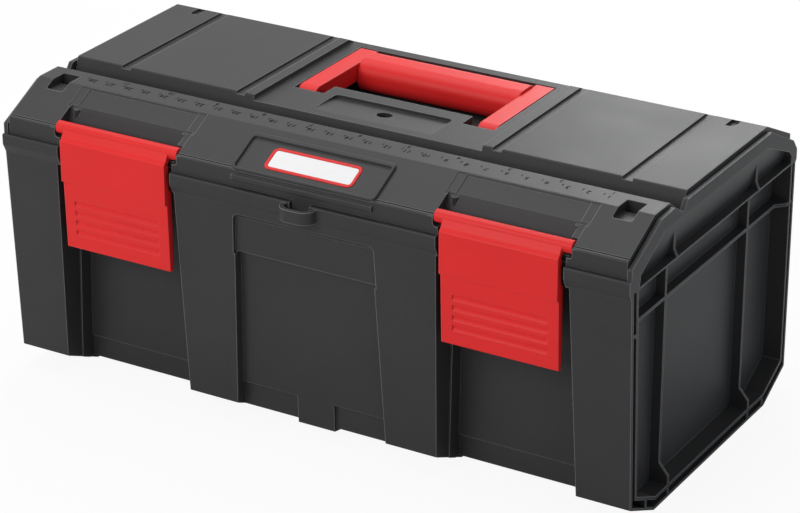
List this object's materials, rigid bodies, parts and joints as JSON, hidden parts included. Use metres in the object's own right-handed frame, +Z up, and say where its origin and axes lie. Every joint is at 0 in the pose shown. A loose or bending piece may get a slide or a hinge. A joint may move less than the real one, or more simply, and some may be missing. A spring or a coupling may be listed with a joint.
{
  "type": "tool box",
  "caption": "Portable plastic tool box with a hinged lid, front latches, a folding carrying handle sunk in the lid, a ruled shelf with a V-groove, ribbed ends and moulded feet.",
  "frame": {"origin": "middle of the bottom of the closed box's bounding box, on the surface it stands on", "axes": "+X along the length, to the right seen from the latch side; -Y the latch side; +Z up"},
  "size_m": [0.326, 0.18, 0.143],
  "materials": {
    "shell_plastic": "finely textured dark grey moulding",
    "red_plastic": "satin red moulding",
    "label_white": "smooth white plate with a red edge, left bare",
    "pin_steel": "plain steel wire"
  },
  "bodies": {
    "base": {"base_shell": "shell_plastic", "hinge_pins": "pin_steel"},
    "lid": {"lid_shell": "shell_plastic", "label_plate": "label_white", "handle_pins": "pin_steel"},
    "left_latch": {"latch_left": "red_plastic"},
    "right_latch": {"latch_right": "red_plastic"},
    "handle": {"handle_bail": "red_plastic", "handle_grip": "red_plastic"}
  },
  "joints": [
    {"name": "lid_hinge", "type": "hinge", "parent": "base", "child": "lid", "pos_m": [0, 0.0868, 0.123], "axis": [-1, 0, 0], "range_deg": [0, 105]},
    {"name": "left_latch_hinge", "type": "hinge", "parent": "lid", "child": "left_latch", "pos_m": [-0.1004, -0.0779, 0.1304], "axis": [-1, 0, 0], "range_deg": [0, 110]},
    {"name": "right_latch_hinge", "type": "hinge", "parent": "lid", "child": "right_latch", "pos_m": [0.1004, -0.0779, 0.1304], "axis": [-1, 0, 0], "range_deg": [0, 110]},
    {"name": "handle_hinge", "type": "hinge", "parent": "lid", "child": "handle", "pos_m": [0, 0.0043, 0.1353], "axis": [1, 0, 0], "range_deg": [0, 90]}
  ]
}
